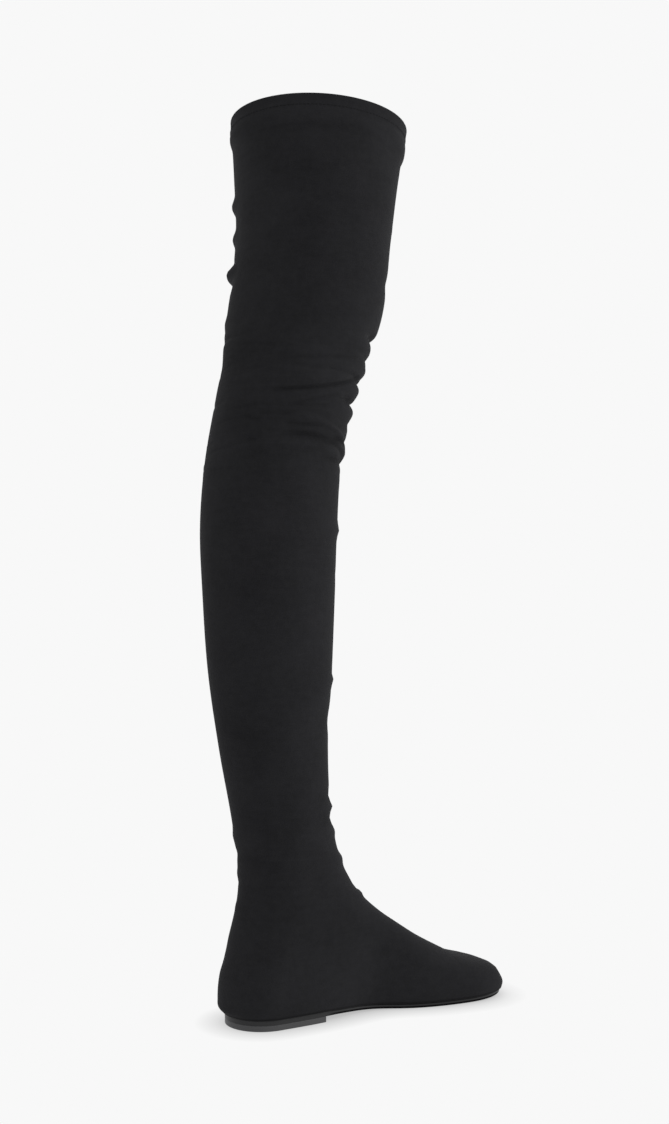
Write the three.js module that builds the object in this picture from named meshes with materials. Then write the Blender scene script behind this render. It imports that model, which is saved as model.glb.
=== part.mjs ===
// A flat, pull-on, thigh-high boot for the left foot, in stretch suede on a thin rubber sole.
// Millimetres. +Y points from heel to toe, +X to the wearer's right, which is the inner side, +Z up.
// The boot is built from level rings: each ring of the foot rides on the feather line, where upper
// and sole meet, and each ring of the shaft is a level ellipse.

import * as THREE from "three";

// Foot
const footLength = 240;
const ballWidth = 82;
const heelWidth = 68;
const instepRise = 112;
const toeTurn = 9.5;
const waistDepth = 10.5;

// Shaft
const bootHeight = 693;
const calfDepth = 106;
const calfWidth = 100;
const collarDepth = 145;
const collarWidth = 128;

// Wall and hem of the upper
const footWall = 2.0;
const shaftWall = 1.6;
const lastingMargin = 14;
const hemDepth = 10;
const hemStep = 0.4;
const hemShoulder = 1.2;

// Sole, heel and insole
const soleThickness = 3.6;
const soleInset = 2;
const backInset = 1.4;
const backReach = 36;
const soleEdge = 0.6;
const toeSpring = 3.4;
const heelHeight = 4;
const heelLength = 67.6;
const heelInset = 0.5;
const breastHollow = 3;
const insoleThickness = 2.5;

// Folds of the slack shaft: a deep trough, and how far from its line it runs out
const foldDepth = 4;
const foldSpread = 5;

// Clearance that is kept between pieces, and how finely the rings are cut
const gap = 0.3;
const columns = 44;

// Where the sole leaves the heel's height, lies flat under the ball and rises to the toe,
// as shares of footLength
const waistStart = 0.29;
const ballStart = 0.63;
const springStart = 0.73;

// Places of the two balls and of the waist, as shares of footLength
const innerBall = 0.7;
const outerBall = 0.63;
const waistPlace = 0.5;
const waistSpread = 0.13;
const outerWaistShare = 0.35;
const turnStart = 0.6;
const turnSpan = 0.42;

// How much fuller than an ellipse the toe is, in the power of its rounding
const toeFullness = 0.5;

// The rings of the foot stop following the feather line at this share of instepRise
const levelShare = 0.94;

// Level rings of the foot, from the feather line up.
// rise: share of instepRise. back, front: shares of footLength from the heel's back.
// heel: share of heelWidth. ball: share of ballWidth.
// heelRound, toeRound: how far the ring's ends are rounded, as shares of heelWidth and ballWidth.
const footRings = [
  { rise: 0.0, back: 0.016, front: 0.996, heel: 0.89, ball: 0.91, heelRound: 0.45, toeRound: 0.56 },
  { rise: 0.036, back: 0.001, front: 1.0, heel: 0.955, ball: 0.97, heelRound: 0.46, toeRound: 0.59 },
  { rise: 0.08, back: 0.0, front: 0.98, heel: 0.985, ball: 1.0, heelRound: 0.46, toeRound: 0.57 },
  { rise: 0.143, back: 0.001, front: 0.963, heel: 1.0, ball: 0.97, heelRound: 0.46, toeRound: 0.55 },
  { rise: 0.188, back: 0.003, front: 0.92, heel: 0.997, ball: 0.925, heelRound: 0.46, toeRound: 0.55 },
  { rise: 0.25, back: 0.008, front: 0.815, heel: 0.985, ball: 0.86, heelRound: 0.46, toeRound: 0.58 },
  { rise: 0.312, back: 0.017, front: 0.77, heel: 0.963, ball: 0.81, heelRound: 0.47, toeRound: 0.59 },
  { rise: 0.393, back: 0.026, front: 0.696, heel: 0.94, ball: 0.765, heelRound: 0.48, toeRound: 0.56 },
  { rise: 0.482, back: 0.034, front: 0.628, heel: 0.92, ball: 0.74, heelRound: 0.5, toeRound: 0.51 },
  { rise: 0.589, back: 0.047, front: 0.549, heel: 0.91, ball: 0.73, heelRound: 0.52, toeRound: 0.46 },
  { rise: 0.714, back: 0.06, front: 0.478, heel: 0.91, ball: 0.735, heelRound: 0.54, toeRound: 0.44 },
  { rise: 0.857, back: 0.065, front: 0.428, heel: 0.92, ball: 0.75, heelRound: 0.56, toeRound: 0.44 },
  { rise: 1.0, back: 0.059, front: 0.396, heel: 0.936, ball: 0.776, heelRound: 0.57, toeRound: 0.46 },
];

// Level rings of the shaft.
// up: share of bootHeight. centre: share of footLength from the heel's back.
// deep, wide: shares of the calf's or the collar's own depth and width.
const shaftRings = [
  { up: 0.217, centre: 0.204, size: "calf", deep: 0.738, wide: 0.68 },
  { up: 0.289, centre: 0.176, size: "calf", deep: 0.7965, wide: 0.76 },
  { up: 0.375, centre: 0.162, size: "calf", deep: 0.907, wide: 0.88 },
  { up: 0.462, centre: 0.1565, size: "calf", deep: 0.969, wide: 0.96 },
  { up: 0.534, centre: 0.1555, size: "calf", deep: 1.004, wide: 1.0 },
  { up: 0.606, centre: 0.1715, size: "calf", deep: 1.003, wide: 1.02 },
  { up: 0.693, centre: 0.225, size: "collar", deep: 0.76, wide: 0.845 },
  { up: 0.779, centre: 0.2873, size: "collar", deep: 0.8537, wide: 0.9 },
  { up: 0.866, centre: 0.3173, size: "collar", deep: 0.853, wide: 0.95 },
  { up: 0.938, centre: 0.3284, size: "collar", deep: 0.9145, wide: 0.987 },
  { up: 1.0, centre: 0.3394, size: "collar", deep: 0.996, wide: 1.0 },
];
const shaftSizes = {
  calf: { deep: calfDepth, wide: calfWidth },
  collar: { deep: collarDepth, wide: collarWidth },
};

// Folds: the creases and bulges at the bent knee, the bulges behind the thigh, the swell under the
// hem, and a few on calf and ankle. Each runs round the shaft from one height to another.
// from, to: turns from the heel's back over the inner side. upFrom, upTo: shares of bootHeight.
// deep: share of foldDepth, below zero where the fold stands proud. above, below: shares of
// foldSpread. sharp: the power of its bell, 2 for a soft one, less for a crease, more for a lobe.
const folds = [
  { from: 0.33, to: 0.66, upFrom: 0.7475, upTo: 0.7475, deep: 1.25, above: 0.6, below: 0.9, sharp: 1.4 },
  { from: 0.33, to: 0.64, upFrom: 0.724, upTo: 0.724, deep: 0.5, above: 0.5, below: 0.7, sharp: 1.4 },
  { from: 0.34, to: 0.64, upFrom: 0.711, upTo: 0.711, deep: -0.4, above: 0.9, below: 0.8, sharp: 2 },
  { from: 0.31, to: 0.62, upFrom: 0.6955, upTo: 0.6955, deep: 0.65, above: 0.65, below: 0.55, sharp: 1.4 },
  { from: 0.13, to: 0.4, upFrom: 0.673, upTo: 0.698, deep: 0.35, above: 0.4, below: 0.5, sharp: 2 },
  { from: 0.31, to: 0.62, upFrom: 0.6885, upTo: 0.6885, deep: -0.3, above: 0.8, below: 0.8, sharp: 2 },
  { from: 0.3, to: 0.62, upFrom: 0.672, upTo: 0.672, deep: 1.15, above: 0.6, below: 0.55, sharp: 1.4 },
  { from: 0.3, to: 0.6, upFrom: 0.663, upTo: 0.663, deep: -0.25, above: 0.7, below: 0.8, sharp: 2 },
  { from: 0.3, to: 0.6, upFrom: 0.6505, upTo: 0.6505, deep: 0.35, above: 0.6, below: 1.4, sharp: 1.4 },
  { from: 0.28, to: 0.6, upFrom: 0.6275, upTo: 0.6275, deep: 0.45, above: 0.55, below: 0.5, sharp: 1.4 },
  { from: 0.29, to: 0.6, upFrom: 0.617, upTo: 0.617, deep: -0.35, above: 0.8, below: 0.9, sharp: 2 },
  { from: 0.28, to: 0.6, upFrom: 0.605, upTo: 0.605, deep: 0.4, above: 0.5, below: 0.8, sharp: 1.4 },
  { from: 0.7, to: 0.92, upFrom: 0.692, upTo: 0.68, deep: 0.4, above: 0.8, below: 0.8, sharp: 2 },
  { from: -0.2, to: 0.12, upFrom: 0.713, upTo: 0.713, deep: 0.3, above: 2.4, below: 2.4, sharp: 2 },
  { from: -0.32, to: -0.02, upFrom: 0.9045, upTo: 0.9045, deep: -0.75, above: 0.9, below: 1, sharp: 2 },
  { from: -0.32, to: -0.02, upFrom: 0.866, upTo: 0.866, deep: -0.7, above: 0.9, below: 1, sharp: 2 },
  { from: -0.32, to: -0.01, upFrom: 0.8225, upTo: 0.8225, deep: -1.2, above: 1, below: 0.9, sharp: 2.8 },
  { from: -0.32, to: -0.02, upFrom: 0.8055, upTo: 0.8055, deep: 0.55, above: 0.8, below: 0.8, sharp: 2 },
  { from: -0.3, to: 0.26, upFrom: 0.979, upTo: 0.979, deep: -0.4, above: 1.2, below: 1, sharp: 2 },
  { from: 0.27, to: 0.66, upFrom: 0.9705, upTo: 0.9705, deep: -0.4, above: 1.8, below: 1.2, sharp: 3 },
  { from: 0.3, to: 0.62, upFrom: 0.531, upTo: 0.531, deep: -0.4, above: 0.9, below: 0.9, sharp: 2 },
  { from: 0.28, to: 0.64, upFrom: 0.321, upTo: 0.321, deep: 0.3, above: 2, below: 2, sharp: 2 },
  { from: 0.31, to: 0.62, upFrom: 0.2268, upTo: 0.2268, deep: -0.4, above: 0.7, below: 0.7, sharp: 2 },
  { from: 0.28, to: 0.64, upFrom: 0.214, upTo: 0.214, deep: 0.4, above: 1, below: 1, sharp: 2 },
  { from: 0.3, to: 0.62, upFrom: 0.169, upTo: 0.169, deep: -0.45, above: 0.8, below: 0.9, sharp: 2 },
];
// A fold fades in and out over this share of its own run
const foldFade = 0.22;

// Heights worked out from the sizes above
const heelSeat = heelHeight + gap + soleThickness + gap;
const ballSeat = soleThickness + gap;

// How far the insole's edge lies inside the ring of the skin at the top of the lasting margin
const insoleFit = 1.5 * footWall + gap;

// How far apart the neighbours lie that give the skin's direction, in turns and millimetres
const normalTurn = 0.002;
const normalRise = 0.5;

// Bands of the shaft above the foot's own rings.
// up: where a band ends, as a share of bootHeight. rings: how many rings cut it.
const shaftBands = [
  { up: 0.24, rings: 3 },
  { up: 0.52, rings: 5 },
  { up: 0.59, rings: 3 },
  { up: 0.765, rings: 23 },
  { up: 0.84, rings: 6 },
  { up: 0.95, rings: 5 },
  { up: 1, rings: 3 },
];

// Smooth step from 0 to 1.
function ease(x) {
  return THREE.MathUtils.smoothstep(x, 0, 1);
}

// Height of the feather line above the floor: level over the heel, falling through the waist to the
// flat under the ball, and rising again to the toe.
function featherHeight(y) {
  const share = y / footLength;
  const held = 1 - ease((share - waistStart) / (ballStart - waistStart));
  const lifted = Math.max(share - springStart, 0) / (1 - springStart);
  return ballSeat + (heelSeat - ballSeat) * held + toeSpring * lifted ** 2;
}

// One row per ring, in millimetres: height over the heel, back, front, the half widths at heel and
// ball, and the lengths over which the two ends are rounded.
function ringRows() {
  const rows = footRings.map((ring) => [
    heelSeat + ring.rise * instepRise,
    ring.back * footLength,
    ring.front * footLength,
    (ring.heel * heelWidth) / 2,
    (ring.ball * ballWidth) / 2,
    ring.heelRound * heelWidth,
    ring.toeRound * ballWidth,
  ]);
  for (const ring of shaftRings) {
    const halfDepth = (ring.deep * shaftSizes[ring.size].deep) / 2;
    const halfWidth = (ring.wide * shaftSizes[ring.size].wide) / 2;
    const centre = ring.centre * footLength;
    const ends = [centre - halfDepth, centre + halfDepth];
    rows.push([ring.up * bootHeight, ...ends, halfWidth, halfWidth, halfDepth, halfDepth]);
  }
  return rows;
}

// A smooth curve through every column of the rows, with the slope at each row taken from its
// neighbours.
function rowsAt(rows, height) {
  const last = rows.length - 1;
  let i = 0;
  while (i < last - 1 && rows[i + 1][0] < height) {
    i += 1;
  }
  const slope = (row, column) => {
    const before = rows[Math.max(row - 1, 0)];
    const after = rows[Math.min(row + 1, last)];
    return (after[column] - before[column]) / (after[0] - before[0]);
  };
  const span = rows[i + 1][0] - rows[i][0];
  const t = (height - rows[i][0]) / span;
  return rows[i].map((value, column) => {
    const rise = rows[i + 1][column] - value;
    const cubic = t * t * (3 - 2 * t);
    const leave = t * (1 - t) * (1 - t) * span * slope(i, column);
    const arrive = t * t * (t - 1) * span * slope(i + 1, column);
    return value + rise * cubic + leave + arrive;
  });
}

// A quarter of a rounded end: 0 at the tip, 1 where the rounding stops.
function endRound(x, power) {
  const rest = 1 - THREE.MathUtils.clamp(x, 0, 1);
  return (1 - rest ** power) ** (1 / power);
}

const rows = ringRows();

// A point of the boot's outer skin. turn runs once round from the heel's back over the inner side,
// height is the ring's height over the heel.
function skinPoint(turn, height) {
  const [, back, front, heelHalf, ballHalf, heelRound, toeRound] = rowsAt(rows, height);
  const angle = 2 * Math.PI * turn;
  const side = Math.sin(angle) >= 0 ? 1 : -1;
  const y = (back + front) / 2 - ((front - back) / 2) * Math.cos(angle);
  const share = y / footLength;
  const flattened = ease((height - heelSeat) / (levelShare * instepRise));
  const riding = 1 - flattened;
  const ballPlace = side > 0 ? innerBall : outerBall;
  const widening = ease((share - waistStart) / (ballPlace - waistStart));
  const waistShare = side > 0 ? 1 : outerWaistShare;
  const waist = waistDepth * waistShare * Math.exp(-(((share - waistPlace) / waistSpread) ** 2));
  const half = heelHalf + (ballHalf - heelHalf) * widening - riding * waist;
  const toePower = 2 + toeFullness * riding;
  const rounding = endRound((y - back) / heelRound, 2) * endRound((front - y) / toeRound, toePower);
  const centre = riding * toeTurn * ease((share - turnStart) / turnSpan);
  const z = height + riding * (featherHeight(y) - heelSeat);
  return new THREE.Vector3(centre + side * half * rounding, y, z);
}

// The skin's outward direction at a point, from its neighbours on the skin.
function skinNormal(turn, height) {
  const low = Math.max(height - normalRise, heelSeat);
  const high = Math.min(height + normalRise, bootHeight);
  const along = skinPoint(turn + normalTurn, height).sub(skinPoint(turn - normalTurn, height));
  const up = skinPoint(turn, high).sub(skinPoint(turn, low));
  return along.cross(up).normalize();
}

// How far the folds push the skin out, below zero in a trough.
function foldAt(turn, height) {
  return folds.reduce((sum, fold) => {
    const run = THREE.MathUtils.euclideanModulo(turn - fold.from, 1) / (fold.to - fold.from);
    if (run > 1) {
      return sum;
    }
    const fade = ease(run / foldFade) * ease((1 - run) / foldFade);
    const over = height - THREE.MathUtils.lerp(fold.upFrom, fold.upTo, run) * bootHeight;
    const reach = (over > 0 ? fold.above : fold.below) * foldSpread;
    return sum - fold.deep * foldDepth * fade * Math.exp(-(Math.abs(over / reach) ** fold.sharp));
  }, 0);
}

function wallAt(height) {
  const share = ease((height - heelSeat) / instepRise);
  return THREE.MathUtils.lerp(footWall, shaftWall, share);
}

function turns() {
  return Array.from({ length: columns }, (_, column) => column / columns);
}

// A ring of points on the skin, moved out along it, or in where the distance is negative.
function skinRing(height, distance) {
  return turns().map((turn) => {
    const normal = skinNormal(turn, height);
    return skinPoint(turn, height).addScaledVector(normal, distance + foldAt(turn, height));
  });
}

// A ring drawn in by a level distance, which may change along the foot, then set to a height above or
// below the feather line.
function insetRing(height, distanceAt, aboveFeather) {
  const ring = turns().map((turn) => skinPoint(turn, height));
  return ring.map((point, i) => {
    const next = ring[(i + 1) % columns];
    const before = ring[(i + columns - 1) % columns];
    const along = next.clone().sub(before).setZ(0).normalize();
    const distance = distanceAt(point.y);
    const moved = new THREE.Vector3(point.x - along.y * distance, point.y + along.x * distance, 0);
    return moved.setZ(featherHeight(moved.y) + aboveFeather);
  });
}

// A closed mesh from vertices and triangles.
function meshOf(points, triangles) {
  const geometry = new THREE.BufferGeometry();
  geometry.setAttribute("position", new THREE.Float32BufferAttribute(points.flatMap((p) => p.toArray()), 3));
  geometry.setIndex(triangles.flat());
  geometry.computeVertexNormals();
  return geometry;
}

// The two triangles of each field between ring a and ring b, which starts where ring a does.
function bandTriangles(a, b) {
  return turns().flatMap((_, i) => {
    const next = (i + 1) % columns;
    return [
      [a + i, a + next, b + next],
      [a + i, b + next, b + i],
    ];
  });
}

// A skin closed on itself: the last ring is joined to the first.
function closedSleeve(rings) {
  const triangles = rings.flatMap((_, k) => bandTriangles(k * columns, ((k + 1) % rings.length) * columns));
  return meshOf(rings.flat(), triangles);
}

// Strips across a ring from one side to the other, facing down, or up where the ring is the top one.
function capTriangles(start, facingUp) {
  const triangles = [];
  const halfway = columns / 2;
  for (let i = 0; i < halfway; i += 1) {
    const right = start + i;
    const rightNext = start + i + 1;
    const left = start + ((columns - i) % columns);
    const leftNext = start + columns - i - 1;
    if (left !== right) {
      triangles.push(facingUp ? [right, rightNext, left] : [right, left, rightNext]);
    }
    if (leftNext !== rightNext) {
      triangles.push(facingUp ? [rightNext, leftNext, left] : [rightNext, left, leftNext]);
    }
  }
  return triangles;
}

// A plate between a lowest and a highest ring, with the rings of its edge between them.
function plate(rings) {
  const triangles = capTriangles(0, false);
  for (let k = 0; k < rings.length - 1; k += 1) {
    triangles.push(...bandTriangles(k * columns, (k + 1) * columns));
  }
  triangles.push(...capTriangles((rings.length - 1) * columns, true));
  return meshOf(rings.flat(), triangles);
}

// Upper: outer skin with the hem's step, rim, inner skin, and the lasting margin that is turned in
// under the foot and leaves the bottom open.
function upperGeometry() {
  const hemFoot = bootHeight - hemDepth;
  const heights = footRings.map((ring) => heelSeat + ring.rise * instepRise);
  for (const band of shaftBands) {
    const low = heights.at(-1);
    const high = Math.min(band.up * bootHeight, hemFoot - hemShoulder);
    for (let i = 1; i <= band.rings; i += 1) {
      heights.push(THREE.MathUtils.lerp(low, high, i / band.rings));
    }
  }
  const outer = heights.map((height) => skinRing(height, 0));
  const hem = [skinRing(hemFoot, hemStep), skinRing(bootHeight - hemStep, hemStep), skinRing(bootHeight, 0)];
  const inner = [...heights.slice(1), bootHeight].reverse().map((height) => skinRing(height, -wallAt(height)));
  const bottomHeight = heelSeat + footWall;
  const seat = insetRing(bottomHeight, () => insoleFit - gap, footWall);
  const marginTop = insetRing(heelSeat, () => lastingMargin, footWall);
  const marginBottom = insetRing(heelSeat, () => lastingMargin, 0);
  return closedSleeve([...outer, ...hem, ...inner, seat, marginTop, marginBottom]);
}

// Insole: lies on the lasting margin, inside the wall.
function insoleGeometry() {
  const height = heelSeat + footWall;
  const bottom = footWall + gap;
  return plate([
    insetRing(height, () => insoleFit, bottom),
    insetRing(height, () => insoleFit, bottom + insoleThickness),
  ]);
}

// The sole's outline, drawn in by a distance from its own edge. That edge lies under the upper by
// soleInset, and comes closer to the upper's round the heel's back.
function soleRing(drawnIn, aboveFeather) {
  const tucked = (y) => THREE.MathUtils.lerp(backInset, soleInset, ease(y / backReach)) + drawnIn;
  return insetRing(heelSeat, tucked, aboveFeather);
}

// Outsole: one thin sheet under the whole foot, with its edges broken.
function outsoleGeometry() {
  const top = -gap;
  const bottom = top - soleThickness;
  return plate([
    soleRing(soleEdge, bottom),
    soleRing(0, bottom + soleEdge),
    soleRing(0, top - soleEdge),
    soleRing(soleEdge, top),
  ]);
}

// Heel: the back of the outsole's own outline, cut off at a hollowed breast.
function heelGeometry() {
  const outline = soleRing(heelInset, 0);
  const back = outline[0].y;
  const breast = back + heelLength - heelInset;
  const inner = outline.slice(0, columns / 2).filter((point) => point.y < breast);
  const outer = outline.slice(columns / 2).filter((point) => point.y < breast);
  const innerCorner = cornerAt(outline.slice(0, columns / 2), breast);
  const outerCorner = cornerAt(outline.slice(columns / 2).reverse(), breast);
  const shape = new THREE.Shape();
  shape.moveTo(outerCorner, breast);
  [...outer, ...inner].forEach((point) => shape.lineTo(point.x, point.y));
  shape.lineTo(innerCorner, breast);
  shape.quadraticCurveTo((innerCorner + outerCorner) / 2, breast - 2 * breastHollow, outerCorner, breast);
  return new THREE.ExtrudeGeometry(shape, { depth: heelHeight, bevelEnabled: false, curveSegments: 10 });
}

// Where a side of an outline, running from the heel's back to the toe, crosses a given length.
function cornerAt(side, y) {
  const i = side.findIndex((point) => point.y >= y);
  const t = (y - side[i - 1].y) / (side[i].y - side[i - 1].y);
  return THREE.MathUtils.lerp(side[i - 1].x, side[i].x, t);
}

// Materials, one for each piece
const suede = new THREE.MeshStandardMaterial({ color: 0x212123, roughness: 0.95, metalness: 0 });
const rubber = new THREE.MeshStandardMaterial({ color: 0x2b2b2d, roughness: 0.5, metalness: 0 });
const heelRubber = new THREE.MeshStandardMaterial({ color: 0x262628, roughness: 0.55, metalness: 0 });
const lining = new THREE.MeshStandardMaterial({ color: 0x2a2725, roughness: 0.9, metalness: 0 });

function piece(name, geometry, material) {
  const mesh = new THREE.Mesh(geometry, material);
  mesh.name = name;
  return mesh;
}

const boot = new THREE.Group();
boot.add(piece("upper", upperGeometry(), suede));
boot.add(piece("insole", insoleGeometry(), lining));
boot.add(piece("outsole", outsoleGeometry(), rubber));
boot.add(piece("heel_lift", heelGeometry(), heelRubber));

// The origin is on the floor, under the middle of the boot's box.
const box = new THREE.Box3().setFromObject(boot);
const middle = box.getCenter(new THREE.Vector3());
boot.position.set(-middle.x, -middle.y, -box.min.z);

export default boot;
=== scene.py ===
# %% [markdown]
# # A thigh-high boot in stretch suede
# One left boot stands empty on a pale floor. The solids of its four parts are already there: the upper,
# the insole, the outsole and the heel lift. This lesson dresses each of them with a fine surface and a
# finish. Lengths are in metres, +Y points from heel to toe, +X to the inner side of the foot, +Z up.

import math

import bpy
import numpy as np
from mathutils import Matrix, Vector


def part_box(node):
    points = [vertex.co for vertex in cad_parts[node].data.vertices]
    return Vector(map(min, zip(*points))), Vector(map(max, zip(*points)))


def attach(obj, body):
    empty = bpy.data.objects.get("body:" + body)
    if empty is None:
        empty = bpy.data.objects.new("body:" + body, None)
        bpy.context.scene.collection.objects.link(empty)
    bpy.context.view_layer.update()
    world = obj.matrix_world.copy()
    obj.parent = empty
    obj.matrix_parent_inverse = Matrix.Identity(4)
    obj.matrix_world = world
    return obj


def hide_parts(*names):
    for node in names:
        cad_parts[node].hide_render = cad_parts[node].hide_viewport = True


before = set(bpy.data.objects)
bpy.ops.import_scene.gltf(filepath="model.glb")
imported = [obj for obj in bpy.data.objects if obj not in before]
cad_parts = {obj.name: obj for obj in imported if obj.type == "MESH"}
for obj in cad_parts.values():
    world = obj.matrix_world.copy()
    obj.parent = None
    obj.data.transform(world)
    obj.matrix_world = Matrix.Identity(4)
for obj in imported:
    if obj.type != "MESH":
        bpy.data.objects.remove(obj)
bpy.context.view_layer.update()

# %% [markdown]
# ## Sizes
# The real boot is made over a last, a solid form of the foot, and a shaft pattern cut to the leg. Its
# main sizes drive everything here, as they drive the solids. The frame says where the heel's back lies,
# so that every new surface can be worked out from the heel and then be moved into place once.

# %% Main sizes
mm = 0.001
foot_length = 240 * mm
ball_width = 82 * mm
heel_width = 68 * mm
instep_rise = 112 * mm
toe_turn = 9.5 * mm
waist_depth = 10.5 * mm
calf_depth = 106 * mm
calf_width = 100 * mm
collar_depth = 145 * mm
collar_width = 128 * mm
foot_wall = 2.0 * mm
shaft_wall = 1.6 * mm
sole_thickness = 3.6 * mm
sole_inset = 2.0 * mm
back_inset = 1.4 * mm
back_reach = 36 * mm
heel_height = 4.0 * mm
heel_length = 67.6 * mm
toe_spring = 3.4 * mm
clearance = 0.3 * mm

upper_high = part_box("upper")[1]
boot_height = upper_high.z
heel_back = upper_high.y - foot_length
heel_seat = heel_height + sole_thickness + 2 * clearance
ball_seat = sole_thickness + clearance
print("boot height", round(boot_height, 4), "heel's back at y", round(heel_back, 4))

# %% [markdown]
# ## Camera
# The photograph looks at the inner side of the boot from a little behind, from calf height, with the
# camera tipped up by a few degrees. A long lens would flatten the shaft, and a short one would bend it,
# so the distance matters as much as the angle. Its place is given as a direction and a distance from a
# point on the floor under the foot.

# %% Camera
camera_turn = math.radians(59.94)
camera_pitch = math.radians(3.76)
camera_height = 0.2806
camera_distance = 0.9822
camera_aside = 0.0039
aim_from_heel = 0.091
lens_in_pixels = 1249.3
frame_height_in_pixels = 1124
sensor_height = 36.0

away = np.array([math.sin(camera_turn), -math.cos(camera_turn), 0])
aside = np.array([math.cos(camera_turn), math.sin(camera_turn), 0])
aim = np.array([0, heel_back + aim_from_heel, 0])
eye = aim + camera_distance * away + camera_aside * aside + np.array([0, 0, camera_height])

camera_data = bpy.data.cameras.new("camera")
camera_data.sensor_fit = "VERTICAL"
camera_data.sensor_height = sensor_height
camera_data.lens = lens_in_pixels / frame_height_in_pixels * sensor_height
camera = bpy.data.objects.new("camera", camera_data)
camera.location = eye.tolist()
camera.rotation_euler = (math.pi / 2 + camera_pitch, 0, camera_turn)
bpy.context.scene.collection.objects.link(camera)
bpy.context.scene.camera = camera
print("camera at", np.round(eye, 3), "lens", round(camera_data.lens, 2), "mm")

# %% [markdown]
# ## The form of the last and the shaft
# A skin like this one could be sculpted, or bent out of a tube with a lattice. Level rings are surer:
# a table says how deep and how wide the boot is at two dozen heights, and one function of two numbers,
# the turn round the boot and the height, gives every point of the skin. The rings of the foot ride on
# the feather line, the edge where upper and sole meet, and higher up they grow level.

# %% Shares of the foot's length
# Over waist_run from waist_start the heel's seat gives way to the ball's. The waist is hollowed most at
# waist_middle, as a bell with the width waist_reach, and outer_waist says how much of the inner side's
# hollow the outer side has. From spring_start the toe lifts, and over turn_run from turn_start it turns.
waist_start = 0.29
waist_run = 0.34
waist_middle = 0.5
waist_reach = 0.13
outer_waist = 0.35
spring_start = 0.73
inner_ball = 0.7
outer_ball = 0.63
turn_start = 0.6
turn_run = 0.42
print("ball at", round(inner_ball * foot_length, 4), "m from the heel on the inner side")

# %% Helpers for smooth shapes
def ease(x):
    """Three x squared less two x cubed, held at 0 below 0 and at 1 above 1."""
    x = np.clip(x, 0, 1)
    return x * x * (3 - 2 * x)


def mix(low, high, share):
    """low, plus the share of the way to high."""
    return low + (high - low) * share


def feather_height(y):
    """Height of the feather line at a length y from the heel: the heel's seat, eased down through the
    waist to the ball's seat, plus a parabola from the ball to the toe."""
    share = y / foot_length
    held = 1 - ease((share - waist_start) / waist_run)
    lifted = np.maximum(share - spring_start, 0) / (1 - spring_start)
    return ball_seat + (heel_seat - ball_seat) * held + toe_spring * lifted**2


for spot, share in (("heel", 0), ("waist", waist_middle), ("ball", inner_ball), ("toe", 1)):
    print("feather line at the", spot, round(float(feather_height(share * foot_length)), 4), "m")

# %% Rings of the foot and of the shaft
# rise: share of instep_rise. back, front: shares of foot_length. heel, ball: shares of heel_width and
# ball_width. heel_round, toe_round: how far the ends are rounded, in the same shares.
foot_rings = np.array([
    # rise, back, front, heel, ball, heel_round, toe_round
    (0.0, 0.016, 0.993, 0.89, 0.91, 0.45, 0.56),
    (0.036, 0.001, 0.994, 0.955, 0.97, 0.46, 0.59),
    (0.08, 0.0, 0.983, 0.985, 1.0, 0.46, 0.57),
    (0.143, 0.001, 0.963, 1.0, 0.97, 0.46, 0.55),
    (0.188, 0.003, 0.919, 0.997, 0.925, 0.46, 0.55),
    (0.25, 0.008, 0.828, 0.985, 0.86, 0.46, 0.58),
    (0.312, 0.017, 0.769, 0.963, 0.81, 0.47, 0.59),
    (0.393, 0.026, 0.696, 0.94, 0.765, 0.48, 0.56),
    (0.482, 0.034, 0.628, 0.92, 0.74, 0.5, 0.51),
    (0.589, 0.047, 0.549, 0.91, 0.73, 0.52, 0.46),
    (0.714, 0.06, 0.478, 0.91, 0.735, 0.54, 0.44),
    (0.857, 0.065, 0.428, 0.92, 0.75, 0.56, 0.44),
    (1.0, 0.059, 0.396, 0.936, 0.776, 0.57, 0.46),
])
# up: share of boot_height. centre: share of foot_length. deep, wide: shares of the sizes that follow.
shaft_rings = np.array([
    # up, centre, deep, wide, depth, width
    (0.217, 0.204, 0.738, 0.68, calf_depth, calf_width),
    (0.289, 0.176, 0.7965, 0.76, calf_depth, calf_width),
    (0.375, 0.162, 0.907, 0.88, calf_depth, calf_width),
    (0.462, 0.1565, 0.969, 0.96, calf_depth, calf_width),
    (0.534, 0.1555, 1.004, 1.0, calf_depth, calf_width),
    (0.606, 0.1715, 1.003, 1.02, calf_depth, calf_width),
    (0.693, 0.225, 0.76, 0.845, collar_depth, collar_width),
    (0.779, 0.2873, 0.8537, 0.9, collar_depth, collar_width),
    (0.866, 0.3173, 0.853, 0.95, collar_depth, collar_width),
    (0.938, 0.3284, 0.9145, 0.987, collar_depth, collar_width),
    (1.0, 0.3394, 0.996, 1.0, collar_depth, collar_width),
])


def ring_table():
    """One row a ring, in metres: height, back, front, half widths at heel and ball, rounding lengths
    at heel and toe. A ring of the shaft is an ellipse: both roundings are half its depth."""
    rise, back, front, heel, ball, heel_round, toe_round = foot_rings.T
    foot = np.stack([
        heel_seat + rise * instep_rise, back * foot_length, front * foot_length,
        heel * heel_width / 2, ball * ball_width / 2, heel_round * heel_width, toe_round * ball_width,
    ], 1)
    up, centre, deep, wide, depth, width = shaft_rings.T
    half_deep = deep * depth / 2
    half_wide = wide * width / 2
    middle = centre * foot_length
    shaft = np.stack([
        up * boot_height, middle - half_deep, middle + half_deep, half_wide, half_wide, half_deep, half_deep,
    ], 1)
    return np.vstack([foot, shaft])


rings = ring_table()
print(len(rings), "rings, from", round(rings[0, 0], 4), "to", round(rings[-1, 0], 4), "m")

# %% The skin as a function of turn and height
# riding_reach: how high the rings still follow the feather line. The rings' ends are rounded with the
# power shaft_roundness, and the toe's with toe_squareness more.
riding_reach = 0.94 * instep_rise
shaft_roundness = 2
toe_squareness = 0.5


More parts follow.
